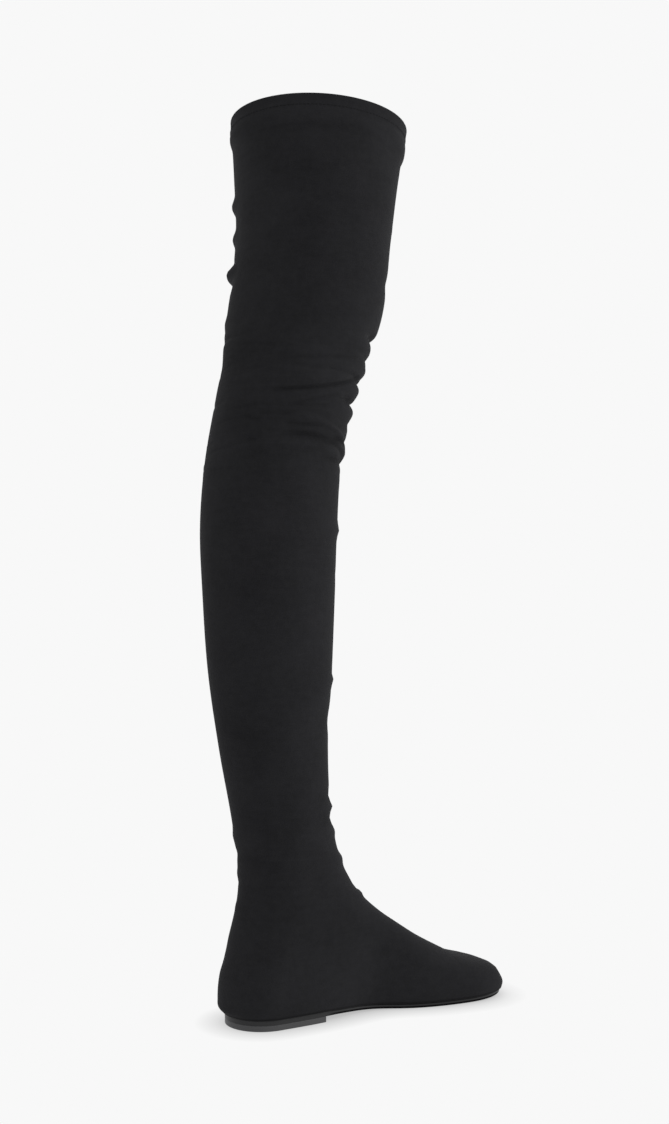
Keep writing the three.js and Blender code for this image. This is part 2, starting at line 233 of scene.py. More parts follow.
def ring_at(height):
    """A smooth curve through every column of the table: a cubic between two rings, whose slope at
    each ring is the slope between that ring's neighbours."""
    places = rings[:, 0]
    before = rings[np.maximum(np.arange(len(rings)) - 1, 0)]
    after = rings[np.minimum(np.arange(len(rings)) + 1, len(rings) - 1)]
    slopes = (after - before) / (after[:, :1] - before[:, :1])
    i = np.clip(np.searchsorted(places, height, side="left") - 1, 0, len(rings) - 2)
    span = (places[i + 1] - places[i])[..., None]
    t = ((height - places[i]) / span[..., 0])[..., None]
    rise = rings[i + 1] - rings[i]
    bend = t * (1 - t) ** 2 * span * slopes[i] + t**2 * (t - 1) * span * slopes[i + 1]
    return rings[i] + rise * ease(t) + bend


def end_round(x, power):
    """A quarter of a rounded end: 1 less (1 - x) to the power, then its root of that power."""
    rest = 1 - np.clip(x, 0, 1)
    return (1 - rest**power) ** (1 / power)


def skin(turn, height):
    """A point of the outer skin. turn runs from the heel's back over the inner side, as an angle round
    the ring gives the length y, and the half width there is the ring's own width times both rounded
    ends. The toe turns inwards, and the ring rides on the feather line until it has grown level."""
    ring = ring_at(height)
    back, front, heel_half, ball_half, heel_round, toe_round = (ring[..., k] for k in range(1, 7))
    angle = 2 * np.pi * turn
    side = np.where(np.sin(angle) >= 0, 1.0, -1.0)
    y = (back + front) / 2 - (front - back) / 2 * np.cos(angle)
    share = y / foot_length
    riding = 1 - ease((height - heel_seat) / riding_reach)
    ball_place = np.where(side > 0, inner_ball, outer_ball)
    widening = ease((share - waist_start) / (ball_place - waist_start))
    hollow = np.where(side > 0, 1.0, outer_waist)
    waist = waist_depth * hollow * np.exp(-(((share - waist_middle) / waist_reach) ** 2))
    half = heel_half + (ball_half - heel_half) * widening - riding * waist
    toe_power = shaft_roundness + toe_squareness * riding
    rounded_heel = end_round((y - back) / heel_round, shaft_roundness)
    rounded = rounded_heel * end_round((front - y) / toe_round, toe_power)
    x = riding * toe_turn * ease((share - turn_start) / turn_run) + side * half * rounded
    z = height + riding * (feather_height(y) - heel_seat)
    return np.stack([x, y, z], -1)


height_step = 0.5 * mm
turn_step = 0.002


def skin_normal(turn, height):
    """The skin's outward direction: the way round crossed with the way up, each from two neighbours."""
    low = np.maximum(height - height_step, heel_seat)
    high = np.minimum(height + height_step, boot_height)
    along = skin(turn + turn_step, height) - skin(turn - turn_step, height)
    up = skin(turn, high) - skin(turn, low)
    normal = np.cross(along, up)
    return normal / np.linalg.norm(normal, axis=-1, keepdims=True)


# %% [markdown]
# ## Folds
# Worn stretch suede stands slack over the bent knee, and its folds are what the eye reads as cloth. A
# simulation would give folds somewhere, but not where this boot has them, so each main fold is placed one
# by one: a line that runs round part of the shaft, with a soft trough or ridge across it. A hundred and
# fifty small creases, drawn by lot from a fixed seed, break up what lies between.

# %% Main folds
# from, to: turns from the heel's back over the inner side. low, high: shares of boot_height at the two
# ends. bow: how far the middle rises, in the same share. deep: depth in mm, below zero where the fold
# stands proud. above, below: how far it runs out over and under its line, in mm. power: 2 gives a soft
# bell, less a sharp crease and more a round lobe.
folds = np.array([
    # from, to, low, high, bow, deep, above, below, power
    # front of the knee
    (0.33, 0.66, 0.7475, 0.7475, 0.000, 5.0, 3.0, 4.6, 1.4),
    (0.33, 0.64, 0.7240, 0.7240, 0.000, 1.9, 2.4, 3.4, 1.4),
    (0.34, 0.64, 0.7110, 0.7110, 0.000, -1.5, 4.6, 4.0, 2.0),
    (0.31, 0.62, 0.6955, 0.6955, 0.000, 2.5, 3.2, 2.6, 1.4),
    (0.31, 0.62, 0.6885, 0.6885, 0.000, -1.2, 4.0, 4.0, 2.0),
    (0.30, 0.62, 0.6720, 0.6720, 0.000, 4.6, 3.0, 2.8, 1.4),
    (0.30, 0.60, 0.6630, 0.6630, 0.000, -1.0, 3.5, 4.0, 2.0),
    (0.30, 0.60, 0.6505, 0.6505, 0.000, 1.4, 3.0, 7.0, 1.4),
    (0.28, 0.60, 0.6275, 0.6275, 0.000, 1.8, 2.8, 2.6, 1.4),
    (0.29, 0.60, 0.6170, 0.6170, 0.000, -1.4, 4.0, 4.5, 2.0),
    (0.28, 0.60, 0.6050, 0.6050, 0.000, 1.7, 2.6, 4.0, 1.4),
    # grooves from the knee onto the inner side
    (0.11, 0.42, 0.6770, 0.7110, -0.0115, 1.1, 1.3, 2.0, 1.5),
    (0.15, 0.36, 0.6762, 0.6972, -0.0052, 0.9, 1.2, 1.8, 1.5),
    (0.19, 0.32, 0.6600, 0.6770, 0.000, 0.8, 1.2, 1.8, 1.5),
    (0.07, 0.17, 0.6585, 0.6590, 0.000, 0.5, 1.2, 1.6, 1.5),
    (0.18, 0.29, 0.6600, 0.6620, -0.001, 0.6, 1.2, 1.6, 1.5),
    (0.12, 0.21, 0.6500, 0.6500, 0.000, 0.7, 1.2, 1.8, 1.5),
    (0.14, 0.38, 0.7100, 0.7230, -0.002, 0.7, 1.2, 1.8, 1.5),
    (0.06, 0.13, 0.7005, 0.7005, 0.000, 0.5, 1.0, 1.4, 1.5),
    (0.17, 0.26, 0.7030, 0.7010, 0.000, 0.5, 1.2, 1.8, 1.5),
    (0.25, 0.40, 0.7005, 0.7005, 0.000, 1.1, 1.4, 1.8, 1.5),
    (0.26, 0.46, 0.7265, 0.7290, 0.002, 0.5, 1.4, 2.2, 1.5),
    (0.09, 0.14, 0.6480, 0.6410, 0.000, 0.8, 1.2, 1.4, 1.5),
    (0.11, 0.14, 0.6205, 0.6215, 0.000, 0.8, 1.4, 1.4, 1.5),
    (0.18, 0.30, 0.6385, 0.6400, 0.000, 1.0, 1.2, 1.6, 1.5),
    (0.20, 0.44, 0.6500, 0.6200, 0.002, -1.8, 2.2, 1.8, 2.0),
    (0.17, 0.42, 0.6275, 0.6060, 0.009, 1.8, 1.8, 3.0, 1.6),
    (0.14, 0.30, 0.6195, 0.6170, 0.000, -0.5, 2.5, 3.5, 2.0),
    # lower calf
    (0.06, 0.15, 0.3110, 0.3060, 0.000, 0.6, 2.0, 3.0, 1.5),
    # outer side of the knee
    (0.70, 0.92, 0.6920, 0.6800, 0.004, 1.6, 4.0, 4.0, 1.6),
    (0.62, 0.86, 0.6600, 0.6700, 0.002, 1.3, 3.0, 3.6, 1.5),
    (0.60, 0.80, 0.6300, 0.6240, 0.000, 1.1, 3.0, 3.6, 1.5),
    # lobes at the back of the thigh
    (-0.32, -0.02, 0.9045, 0.9045, 0.000, -3.0, 4.6, 5.0, 2.0),
    (0.02, 0.20, 0.9045, 0.8740, 0.003, -0.4, 1.6, 2.4, 2.0),
    (-0.32, -0.02, 0.8660, 0.8660, 0.000, -2.8, 4.4, 5.0, 2.0),
    (-0.32, -0.01, 0.8225, 0.8225, 0.000, -4.8, 5.0, 4.4, 2.8),
    (-0.32, -0.02, 0.8055, 0.8055, 0.000, 2.2, 4.0, 4.0, 2.0),
    (-0.32, -0.02, 0.8325, 0.8325, 0.000, 0.8, 4.0, 4.0, 2.0),
    (-0.32, 0.00, 0.7640, 0.7640, 0.000, -1.0, 5.0, 5.0, 2.0),
    # hem band
    (-0.30, 0.26, 0.9790, 0.9790, 0.000, -1.7, 6.0, 5.0, 2.0),
    (0.27, 0.66, 0.9705, 0.9705, 0.000, -1.7, 9.0, 6.0, 3.0),
    (0.07, 0.31, 0.9650, 0.9650, 0.000, 0.6, 3.0, 3.4, 2.0),
    # front of the thigh
    (0.36, 0.64, 0.8130, 0.8130, 0.000, 1.2, 7.0, 7.0, 2.0),
    # back of the knee
    (-0.20, 0.12, 0.7130, 0.7130, 0.000, 1.3, 12.0, 12.0, 2.0),
    # front of the shin
    (0.30, 0.62, 0.5310, 0.5310, 0.000, -1.6, 4.5, 4.5, 2.0),
    (0.30, 0.62, 0.3650, 0.3650, 0.000, -1.6, 3.0, 3.5, 2.0),
    (0.28, 0.64, 0.3210, 0.3210, 0.000, 1.2, 10.0, 10.0, 2.0),
    (0.28, 0.64, 0.2390, 0.2390, 0.000, 1.0, 5.0, 4.0, 2.0),
    # front of the ankle and instep
    (0.31, 0.62, 0.2268, 0.2268, 0.000, -1.5, 3.2, 3.6, 2.4),
    (0.28, 0.64, 0.2140, 0.2140, 0.000, 1.5, 5.0, 5.0, 2.0),
    (0.30, 0.62, 0.1990, 0.1990, 0.000, -1.0, 3.5, 3.5, 2.0),
    (0.30, 0.62, 0.1690, 0.1690, 0.000, -1.8, 4.0, 4.5, 2.0),
    (0.36, 0.60, 0.1270, 0.1290, 0.000, -1.4, 1.8, 2.4, 2.0),
    (0.34, 0.62, 0.1390, 0.1400, 0.000, 0.3, 2.4, 2.4, 1.6),
    # back of the ankle
    (-0.18, 0.14, 0.1970, 0.1970, 0.000, -0.9, 5.0, 5.0, 2.0),
    (-0.18, 0.14, 0.1770, 0.1770, 0.000, 0.8, 4.0, 4.0, 2.0),
    (-0.18, 0.14, 0.1560, 0.1560, 0.000, -0.8, 4.0, 4.0, 2.0),
])
fold_fade = 0.22


def fold_relief(turn, height, table):
    """How far the folds move the skin out, in metres. Along a fold the run goes from 0 to 1 and its
    depth fades at both ends. Across it the depth is a bell with one width above and one below,
    whose exponent is the distance over the width, to the fold's own power."""
    relief = np.zeros(np.broadcast(turn, height).shape)
    for start, end, low, high, bow, deep, above, below, power in table:
        run = np.mod(turn - start, 1.0) / (end - start)
        inside = run <= 1
        run = np.clip(run, 0, 1)
        fade = ease(run / fold_fade) * ease((1 - run) / fold_fade)
        line = (mix(low, high, run) + bow * 4 * run * (1 - run)) * boot_height
        away_from = height - line
        width = np.where(away_from > 0, above, below) * mm
        relief -= np.where(inside, deep * mm * fade * np.exp(-np.abs(away_from / width) ** power), 0)
    return relief


print(len(folds), "main folds")

# %% Small creases
# low, high: the band's heights in mm. number: how many. run, run_to: turns. deep, deep_to: depth in mm.
# wide: how far a crease runs out on each side, in mm.
crease_bands = [
    # low, high, number, run, run_to, deep, deep_to, wide
    (408, 528, 80, 0.06, 0.22, 0.12, 0.45, 1.7),
    (528, 672, 30, 0.05, 0.18, 0.10, 0.30, 3.0),
    (150, 408, 22, 0.05, 0.14, 0.08, 0.24, 3.4),
    (84, 150, 22, 0.06, 0.16, 0.12, 0.40, 2.2),
]
crease_seed = 7
crease_climb = 0.01
crease_bow = 0.005
crease_spread = 0.3
crease_power = 1.7


def small_creases(bands, seed):
    """Rows like those of the main folds, drawn by lot: each starts anywhere round the leg and inside its
    band, climbs or falls by up to crease_climb of the height and bows by up to crease_bow of it. Two in
    three are troughs."""
    draw = np.random.default_rng(seed)
    rows = []
    for low, high, number, run, run_to, deep, deep_to, wide in bands:
        start = draw.uniform(0, 1, number)
        length = draw.uniform(run, run_to, number)
        line = draw.uniform(low, high, number) * mm / boot_height
        climb = draw.uniform(-crease_climb, crease_climb, number)
        bow = draw.uniform(-crease_bow, crease_bow, number)
        depth = draw.uniform(deep, deep_to, number) * draw.choice([1, 1, -1], number)
        width = wide * draw.uniform(1 - crease_spread, 1 + crease_spread, number)
        power = np.full(number, crease_power)
        rows.append(np.stack([start, start + length, line, line + climb, bow, depth, width, width, power], 1))
    return np.concatenate(rows)


creases = small_creases(crease_bands, crease_seed)
all_folds = np.concatenate([folds, creases])
print(len(creases), "small creases")

# %% [markdown]
# ## The upper
# The upper is one tube of suede with its jersey backing, turned in under the foot and turned over at the
# collar, where the edge is held by a row of stitches. It is built as rows of stations: up the outside,
# over the hem, down the inside and in under the insole. Rows lie close together where folds are and
# far apart where the leg is smooth.

# %% Stations along the wall
columns = 184
hem_depth = 10 * mm
hem_step = 0.3 * mm
hem_foot = boot_height - hem_depth
lasting_margin = 14 * mm
# low, high: heights of a band. pitch: the distance between its rows. All in mm.
row_bands = [
    # low, high, pitch
    (8.2, 14.2, 1.0),
    (14.2, 80, 2.8),
    (80, 140, 1.6),
    (140, 410, 4.2),
    (410, 532, 1.0),
    (532, 682, 2.0),
]


def rows_of(bands, coarser=1.0):
    """Heights of the rows, from each band's foot in even steps close to its pitch."""
    heights = []
    for low, high, pitch in bands:
        steps = round((high - low) / (pitch * coarser))
        heights.append(np.linspace(low, high, steps, endpoint=False))
    return np.concatenate(heights) * mm


def wall_at(height):
    """The wall eases from the foot's thickness to the shaft's over the instep."""
    return mix(foot_wall, shaft_wall, ease((height - heel_seat) / instep_rise))


inside_coarser = 2.4
outer_rows = rows_of(row_bands)
inner_rows = rows_of(row_bands, coarser=inside_coarser)[::-1]
print(len(outer_rows), "rows outside,", len(inner_rows), "rows inside")

# %% Points of the upper
def displaced(turn, height, distance):
    """Skin points moved along the skin's own direction by a distance and by the folds."""
    relief = fold_relief(turn, height, all_folds)
    return skin(turn, height) + skin_normal(turn, height) * (distance + relief)[..., None]


def inset(height, distance, above_feather, turn):
    """The ring at a height drawn in level by a distance, then set above the feather line."""
    ring = skin(turn, np.full_like(turn, height))
    along = np.roll(ring, -1, 0) - np.roll(ring, 1, 0)
    along[:, 2] = 0
    along /= np.linalg.norm(along, axis=1, keepdims=True)
    x = ring[:, 0] - along[:, 1] * distance
    y = ring[:, 1] + along[:, 0] * distance
    return np.stack([x, y, feather_height(y) + above_feather], -1)


def place(points):
    """From the heel's own place to the frame's."""
    return points + np.array([0, heel_back, 0])


turns = np.arange(columns) / columns
hem_width = hem_step + shaft_wall
hem_points = 9
hem_angles = np.linspace(0, np.pi, hem_points)
# hem_rise, hem_proud: how far over hem_foot and how far out of the skin the hem's rows lie, in mm.
hem_rise = np.array([0.0, 0.5, 1.2, 3.0, 5.5, 8.0])
hem_proud = np.array([-0.1, 0.1, 0.34, 0.3, 0.3, 0.3])
stations = np.concatenate([
    np.stack([outer_rows, np.zeros_like(outer_rows)], 1),
    np.stack([hem_foot + hem_rise * mm, hem_proud * mm], 1),
    np.stack([
        boot_height - hem_width / 2 + hem_width / 2 * np.sin(hem_angles),
        hem_step - hem_width / 2 + hem_width / 2 * np.cos(hem_angles),
    ], 1),
    np.stack([inner_rows[:-1], -wall_at(inner_rows[:-1])], 1),
])
grid_turn, grid_height = np.broadcast_arrays(turns[None, :], stations[:, :1])
wall_points = displaced(grid_turn, grid_height, np.broadcast_to(stations[:, 1:], grid_turn.shape))
insole_fit = 1.5 * foot_wall
feather_fold = 1.2 * mm
under_foot = np.stack([
    inset(heel_seat + foot_wall, insole_fit, foot_wall, turns),
    inset(heel_seat, lasting_margin, foot_wall, turns),
    inset(heel_seat, lasting_margin, 0.0, turns),
    inset(heel_seat, feather_fold, 0.0, turns),
])
upper_points = np.concatenate([wall_points, under_foot])
print("upper grid", upper_points.shape)

# %% A mesh from a grid
def grid_faces(rows, across, closed_rows):
    """Quads of a grid that is closed round its columns, and round its rows where asked."""
    index = np.arange(rows * across).reshape(rows, across)
    low = index if closed_rows else index[:-1]
    high = np.roll(index, -1, 0) if closed_rows else index[1:]
    return np.stack([low, np.roll(low, -1, 1), np.roll(high, -1, 1), high], -1).reshape(-1, 4)


def mesh_object(name, points, faces):
    """A smooth-shaded mesh object from points and faces, which stays at the origin."""
    mesh = bpy.data.meshes.new(name)
    mesh.from_pydata(np.asarray(points, float).reshape(-1, 3), [], [list(face) for face in faces])
    mesh.polygons.foreach_set("use_smooth", np.ones(len(mesh.polygons), bool))
    mesh.update()
    built = bpy.data.objects.new(name, mesh)
    bpy.context.scene.collection.objects.link(built)
    return built


upper_faces = grid_faces(len(upper_points), columns, closed_rows=True)
suede_upper = mesh_object("suede_upper", place(upper_points), upper_faces)

# relief: the folds' depth in mm, which the suede's colour follows as painted shade in the creases and a
# little painted light on the ridges. The next layer paints shade along the upper's lower edge, where it turns
# under towards the sole: 1 at the edge, 0 from its reach upwards.
deepest_painted_shade = 1.4
proudest_painted_light = 0.4
feather_shade_reach = 2.6 * mm
# Painted shade in the creases and painted light on the ridges: the clipped fold depth, kept for the suede's
# colour.
relief = fold_relief(grid_turn, grid_height, all_folds)
relief = np.concatenate([relief.ravel(), np.zeros(under_foot.shape[0] * columns)])
relief = np.clip(relief / mm, -deepest_painted_shade, proudest_painted_light)
fold_shade_and_light_layer = suede_upper.data.attributes.new("relief", "FLOAT", "POINT")
fold_shade_and_light_layer.data.foreach_set("value", relief.astype(np.float32))

# Painted shade along the upper's lower edge, where it turns under towards the sole: 1 at the edge, 0 from its
# reach upwards.
above_edge = np.concatenate([stations[:, 0] - heel_seat, np.zeros(len(under_foot))])
feather_shade = 1 - ease(above_edge / feather_shade_reach)
feather_shade_layer = suede_upper.data.attributes.new("feather_shade", "FLOAT", "POINT")
feather_shade_layer.data.foreach_set("value", np.repeat(feather_shade, columns).astype(np.float32))
print("upper:", len(upper_faces), "quads")

# %% [markdown]
# ## The sole
# A flat boot like this has one thin rubber sheet under the whole foot and a low lift under the heel. The
# edge of both is cut flush and inked, so they read as one narrow shining band. A rounded plate would
# do, but the band's true height comes from the feather line, so the sheet follows that line and its
# edge is a short profile of rings.

# %% Outsole
sole_columns = 360
sole_turns = np.arange(sole_columns) / sole_columns
sole_edge = skin(sole_turns, np.full(sole_columns, heel_seat))
sole_back = sole_edge[0, 1] + back_inset
breast = sole_back + heel_length
top_radius = 0.5 * mm
bottom_radius = 0.8 * mm
flush_radius = 0.05 * mm
corner_points = 6
edge_points = 9
corners = np.linspace(0, math.pi / 2, corner_points)
cap_margin = 5 * mm
heel_blend = 12 * mm


def capped_plate(name, edge_rings):
    """A plate from rings that run up its edge, closed below and above by strips from side to side."""
    points = np.stack(edge_rings)
    rows, across = points.shape[:2]
    index = np.arange(across // 2)
    right, left = index, (across - index) % across
    right_next, left_next = index + 1, across - index - 1
    below = np.stack([right, left, left_next, right_next], 1)
    above = (rows - 1) * across + np.stack([right, right_next, left_next, left], 1)
    faces = np.concatenate([grid_faces(rows, across, closed_rows=False), below, above])
    faces = [list(dict.fromkeys(face)) for face in faces.tolist()]
    return mesh_object(name, place(points), faces)


def sole_ring(draw_in, above_bottom):
    """The sheet's outline drawn in by a distance, at a height above its underside. It lies under the
    upper's edge by sole_inset, and comes closer to it round the heel's back."""
    tucked = mix(back_inset, sole_inset, ease(sole_edge[:, 1] / back_reach))
    return inset(heel_seat, tucked + draw_in, above_bottom - clearance - sole_thickness, sole_turns)


def over_heel(y):
    """1 over the heel lift, eased to 0 over heel_blend in front of its breast."""
    return 1 - ease((y - breast) / heel_blend)


rounding = mix(bottom_radius, flush_radius, over_heel(sole_edge[:, 1]))
wall_heights = np.linspace(bottom_radius, sole_thickness - top_radius, edge_points)[1:-1]
sole_rings = [sole_ring(cap_margin, 0)]
sole_rings += [sole_ring(rounding * (1 - np.sin(c)), rounding * (1 - np.cos(c))) for c in corners]
sole_rings += [sole_ring(0, height) for height in wall_heights]
sole_rings += [
    sole_ring(top_radius * (1 - np.cos(c)), sole_thickness - top_radius * (1 - np.sin(c))) for c in corners
]
sole_rings += [sole_ring(cap_margin, sole_thickness)]
rubber_outsole = capped_plate("rubber_outsole", sole_rings)

# polish: 1 on the stripe that the wheel has polished, and on the whole edge over the heel. It sets the gloss,
# and it also paints the colour: the stripe is a painted highlight, and the edge above and below it is
# darkened as painted shade. The stripe's place is given in shares of the sheet's thickness.
stripe_low = 0.38
stripe_high = 0.76
stripe_soft = 0.12
sole_points = np.concatenate(sole_rings)
above_underside = sole_points[:, 2] - feather_height(sole_points[:, 1]) + clearance + sole_thickness
edge_share = above_underside / sole_thickness
stripe = ease((edge_share - stripe_low) / stripe_soft) * (1 - ease((edge_share - stripe_high) / stripe_soft))
# Painted highlight on the stripe and painted shade on the edge above and below it, besides the stripe's
# gloss.
polish_and_painted_light = mix(stripe, 1, over_heel(sole_points[:, 1]))
polish_and_painted_light_layer = rubber_outsole.data.attributes.new("polish_and_painted_light", "FLOAT", "POINT")
polish_and_painted_light_layer.data.foreach_set("value", polish_and_painted_light.astype(np.float32))
print("outsole:", len(rubber_outsole.data.polygons), "faces, breast of the heel at", round(breast, 4))

# %% [markdown]
# ## The heel lift
# The lift is stamped from a thicker sheet to the sole's own outline and cut off in front at a hollowed
# breast. The outline is a loop of points, so the lift is that loop pulled up, and a small Bevel breaks
# its edges as the maker's sanding wheel does.

# %% Heel lift
breast_hollow = 3 * mm
breast_points = 24
hairline = 0.03 * mm
lift_break = 0.35 * mm
sharp_angle = math.radians(35)


def breast_curve(inner_end, outer_end):
    """A quadratic curve from the inner corner to the outer one, hollowed towards the heel's back."""
    t = np.linspace(0, 1, breast_points)[1:-1, None]
    middle = (inner_end + outer_end) / 2 - np.array([0, 2 * breast_hollow])
    return (1 - t) ** 2 * inner_end + 2 * t * (1 - t) * middle + t**2 * outer_end


def side_until_breast(side):
    """A side of the outline from the heel's back to the breast, with its last point cut on the line."""
    keep = side[side[:, 1] < breast]
    beyond = side[len(keep)]
    share = (breast - keep[-1, 1]) / (beyond[1] - keep[-1, 1])
    return np.vstack([keep, mix(keep[-1], beyond, share)])


outline = sole_ring(flush_radius, 0)[:, :2]
inner_side = side_until_breast(outline[: sole_columns // 2])
outer_side = side_until_breast(np.vstack([outline[:1], outline[: sole_columns // 2 : -1]]))
loop = np.vstack([inner_side, breast_curve(inner_side[-1], outer_side[-1]), outer_side[:0:-1]])
lift_top = feather_height(loop[:, 1]) - clearance - sole_thickness - hairline
lift_low = np.column_stack([loop, np.zeros(len(loop))])
lift_high = np.column_stack([loop, lift_top])
count = len(loop)
ring_index = np.arange(count)
ring_next = np.roll(ring_index, -1)
walls = np.stack([ring_index, ring_next, ring_next + count, ring_index + count], 1).tolist()
caps = [ring_index[::-1].tolist(), (ring_index + count).tolist()]
heel_lift = mesh_object("heel_lift_band", place(np.vstack([lift_low, lift_high])), walls + caps)
heel_lift.data.set_sharp_from_angle(angle=sharp_angle)
bevel = heel_lift.modifiers.new("broken_edges", "BEVEL")
bevel.width = lift_break
bevel.segments = 3
bevel.limit_method = "ANGLE"
bevel.angle_limit = sharp_angle
bevel.harden_normals = True
print("heel lift:", count, "points round, height", heel_height)

# %% [markdown]
# ## The insole
# Inside, a soft sock lies on the turned-in edge of the upper and covers the whole bed of the foot. It
# shows only from above, down the shaft. A plate with a rounded upper edge is enough.

# %% Insole sock
insole_thickness = 2.5 * mm
insole_radius = 1.0 * mm
insole_height = heel_seat + foot_wall
insole_cap_margin = 6 * mm


def insole_ring(draw_in, up):
    """The insole's outline drawn in by a distance, at a height over its underside."""
    return inset(insole_height, insole_fit + clearance + draw_in, foot_wall + clearance + up, sole_turns)


insole_rings = [insole_ring(0, 0)]
insole_rings += [
    insole_ring(insole_radius * (1 - np.cos(c)), insole_thickness - insole_radius * (1 - np.sin(c)))
    for c in corners
]
insole_rings += [insole_ring(insole_cap_margin, insole_thickness)]
insole_sock = capped_plate("insole_sock", insole_rings)
print("insole:", len(insole_sock.data.polygons), "faces")

# %% [markdown]
# ## The hem's stitches
# The collar's edge is turned over and held by one row of stitches in black thread. Each stitch is a tiny
# capsule. All of them are one mesh: a single capsule's points are carried to every stitch at once by
# that stitch's own three directions.

# %% Stitches
stitch_pitch = 3.0 * mm
stitch_length = 2.3 * mm
thread_radius = 0.22 * mm
stitch_height = hem_foot + 0.9 * mm
stitch_proud = 0.3 * mm
thread_tip = 0.02 * mm
tip_squareness = 6
capsule_rings = 7
capsule_sides = 8
path_points = 4001
direction_step = 0.001


def even_turns(height, pitch):
    """Turns at which points of the ring at a height lie an even distance apart, close to the pitch."""
    fine = np.linspace(0, 1, path_points)
    path = displaced(fine, np.full_like(fine, height), np.zeros_like(fine))
    run = np.concatenate([[0], np.cumsum(np.linalg.norm(np.diff(path, axis=0), axis=1))])
    number = round(run[-1] / pitch)
    return np.interp(np.arange(number) / number * run[-1], run, fine)


def capsule():
    """Points of a capsule along its first axis: rings whose radius stays full and falls to the tip's at
    both ends, as the root of 1 less the place to the power tip_squareness."""
    along = -np.cos(np.linspace(0, np.pi, capsule_rings))
    around = np.arange(capsule_sides) / capsule_sides * 2 * np.pi
    radius = thread_radius * np.sqrt(np.clip(1 - along**tip_squareness, 0, 1)) + thread_tip
    first = np.repeat(along * stitch_length / 2, capsule_sides)
    second = np.outer(radius, np.cos(around)).ravel()
    third = np.outer(radius, np.sin(around)).ravel()
    return np.stack([first, second, third], 1)


def stitch_points(turn, height, proud):
    """The capsule carried to each stitch by the way round, the way out and the way up there."""
    heights = np.full_like(turn, height)
    centre = displaced(turn, heights, np.full_like(turn, proud))
    flat = np.zeros_like(turn)
    along = displaced(turn + direction_step, heights, flat) - displaced(turn - direction_step, heights, flat)
    along /= np.linalg.norm(along, axis=1, keepdims=True)
    out = skin_normal(turn, heights)
    up = np.cross(along, out)
    frame_of = np.stack([along, out, up], 1)
    return centre[:, None, :] + np.einsum("pk,nkc->npc", capsule(), frame_of)


def capsule_faces(number):
    """Quads round each capsule, and one face over each of its two ends."""
    size = capsule_rings * capsule_sides
    body = grid_faces(capsule_rings, capsule_sides, closed_rows=False)
    ends = np.arange(capsule_sides)
    start = np.arange(number)[:, None, None] * size
    quads = (start + body[None]).reshape(-1, 4).tolist()
    first = (np.arange(number)[:, None] * size + ends[::-1]).tolist()
    last = (np.arange(number)[:, None] * size + size - capsule_sides + ends).tolist()
    return quads + first + last


stitch_turns = even_turns(stitch_height, stitch_pitch)
hem_stitches = mesh_object(
    "hem_stitches",
    place(stitch_points(stitch_turns, stitch_height, stitch_proud)),
    capsule_faces(len(stitch_turns)),
)
print(len(stitch_turns), "stitches round the hem")

# %% [markdown]
# ## Finishes
# Suede is leather with its fibres raised: it sends back almost no mirror light, but the fibres' tips
# catch light at the edges of the form, which is what a sheen layer does. An image of suede would stop at
# its own resolution, so the nap is noise at four sizes: clouds where the nap lies another way, a mottle,
# level wrinkles, and the fibres themselves, which are bump as well as colour.

# %% Tones
# dark, light: the two ends of each finish's colour, as linear red, green and blue.
tones = {
    "suede": ((0.0048, 0.0048, 0.0054), (0.0168, 0.0168, 0.0186)),
    "jersey": ((0.012, 0.0118, 0.0118), (0.030, 0.0295, 0.0295)),
    "sole rubber": ((0.004, 0.004, 0.0043), (0.034, 0.034, 0.0355)),
    # The heel lift's rubber is set lighter than the sole's as painted light, making up for the shade it gets
    # so near the floor.
    "heel rubber with painted light": ((0.045, 0.045, 0.0465), (0.066, 0.066, 0.068)),
    "thread": ((0.004, 0.004, 0.0044), (0.010, 0.010, 0.0108)),
    "sock": ((0.014, 0.0132, 0.0126), (0.034, 0.0325, 0.0315)),
}
ramp_middle = 0.5
# How much mirror light the sole's edge sends back, where it is dull and where it is polished.
dull_mirror = 0.02
polished_mirror = 0.2
print(len(tones), "finishes")

# %% Node helpers
def new_finish(name, roughness, specular):
    """A material with its shader, and the tree's nodes and links."""
    material = bpy.data.materials.new(name)
    material.use_nodes = True
    nodes = material.node_tree.nodes
    shader = nodes["Principled BSDF"]
    shader.inputs["Roughness"].default_value = roughness
    shader.inputs["Specular IOR Level"].default_value = specular
    return material, nodes, material.node_tree.links, shader


def noise(nodes, links, scale, detail, stretch=(1, 1, 1)):
    """Noise on the object's own coordinates. scale is in features a metre, stretch multiplies each axis."""
    place_node = nodes.new("ShaderNodeTexCoord")
    mapping = nodes.new("ShaderNodeMapping")
    mapping.inputs["Scale"].default_value = stretch
    texture = nodes.new("ShaderNodeTexNoise")
    texture.inputs["Scale"].default_value = scale
    texture.inputs["Detail"].default_value = detail
    links.new(place_node.outputs["Object"], mapping.inputs["Vector"])
    links.new(mapping.outputs["Vector"], texture.inputs["Vector"])
    return texture.outputs["Fac"]


def weighted(nodes, links, parts):
    """The sum of (socket, centre, weight): each part is its socket less its centre, times its weight."""
    total = None
    for socket, centre, weight in parts:
        part = nodes.new("ShaderNodeMath")
        part.operation = "MULTIPLY_ADD"
        links.new(socket, part.inputs[0])
        part.inputs[1].default_value = weight
        part.inputs[2].default_value = -centre * weight
        if total is None:
            total = part.outputs[0]
            continue
        add = nodes.new("ShaderNodeMath")
        add.operation = "ADD"
        links.new(total, add.inputs[0])
        links.new(part.outputs[0], add.inputs[1])
        total = add.outputs[0]
    return total


